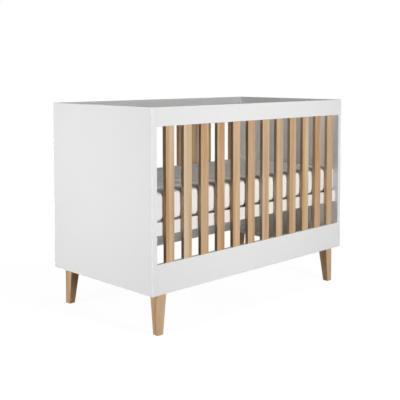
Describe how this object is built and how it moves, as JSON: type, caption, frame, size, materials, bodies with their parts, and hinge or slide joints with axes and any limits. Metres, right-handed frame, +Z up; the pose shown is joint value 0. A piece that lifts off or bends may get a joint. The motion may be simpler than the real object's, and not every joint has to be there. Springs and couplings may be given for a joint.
{
  "type": "baby crib",
  "caption": "Baby crib with solid white end panels, natural-wood slatted sides, tapered legs, a height-adjustable slatted base and a lift-out mattress.",
  "frame": {"origin": "centre of the four feet on the floor, under the middle of the crib", "axes": "+X along the crib's length, -Y out of its front, +Z up"},
  "size_m": [1.266, 0.673, 0.917],
  "materials": {
    "white_lacquer": "satin white lacquer",
    "natural_wood": "matt clear oil",
    "raw_wood": "sanded, untreated",
    "zinc_steel": "zinc plated",
    "white_steel": "white powder coat",
    "glide_plastic": "moulded nylon",
    "mattress_cover": "woven white cotton"
  },
  "bodies": {
    "frame": {"back_bottom_rail": "white_lacquer", "back_slat_01": "natural_wood", "back_slat_02": "natural_wood", "back_slat_03": "natural_wood", "back_slat_04": "natural_wood", "back_slat_05": "natural_wood", "back_slat_06": "natural_wood", "back_slat_07": "natural_wood", "back_slat_08": "natural_wood", "back_slat_09": "natural_wood", "back_slat_10": "natural_wood", "back_slat_11": "natural_wood", "back_slat_12": "natural_wood", "back_top_rail": "white_lacquer", "cam_bolts": "zinc_steel", "cam_locks": "zinc_steel", "end_panel_left": "white_lacquer", "end_panel_right": "white_lacquer", "foot_glides": "glide_plastic", "front_bottom_rail": "white_lacquer", "front_slat_01": "natural_wood", "front_slat_02": "natural_wood", "front_slat_03": "natural_wood", "front_slat_04": "natural_wood", "front_slat_05": "natural_wood", "front_slat_06": "natural_wood", "front_slat_07": "natural_wood", "front_slat_08": "natural_wood", "front_slat_09": "natural_wood", "front_slat_10": "natural_wood", "front_slat_11": "natural_wood", "front_slat_12": "natural_wood", "front_top_rail": "white_lacquer", "height_plate_screws": "zinc_steel", "height_plates": "white_steel", "leg_back_left": "natural_wood", "leg_back_right": "natural_wood", "leg_board_left": "white_lacquer", "leg_board_right": "white_lacquer", "leg_bolts": "zinc_steel", "leg_front_left": "natural_wood", "leg_front_right": "natural_wood", "leg_inserts": "zinc_steel", "panel_dowels": "raw_wood"},
    "base": {"base_back_rail": "white_lacquer", "base_dowels": "raw_wood", "base_front_rail": "white_lacquer", "base_left_rail": "white_lacquer", "base_right_rail": "white_lacquer", "base_slat_screws": "zinc_steel", "base_slats": "raw_wood", "clamp_bolts": "zinc_steel", "clamp_washers": "zinc_steel", "slide_nuts": "zinc_steel"},
    "mattress": {"mattress": "mattress_cover"}
  },
  "joints": [
    {"name": "base_height", "type": "slide", "parent": "frame", "child": "base", "axis": [0, 0, 1], "range_m": [-0.146, 0.146]},
    {"name": "mattress_lift", "type": "slide", "parent": "base", "child": "mattress", "axis": [0, 0, 1], "range_m": [0, 0.62]}
  ]
}
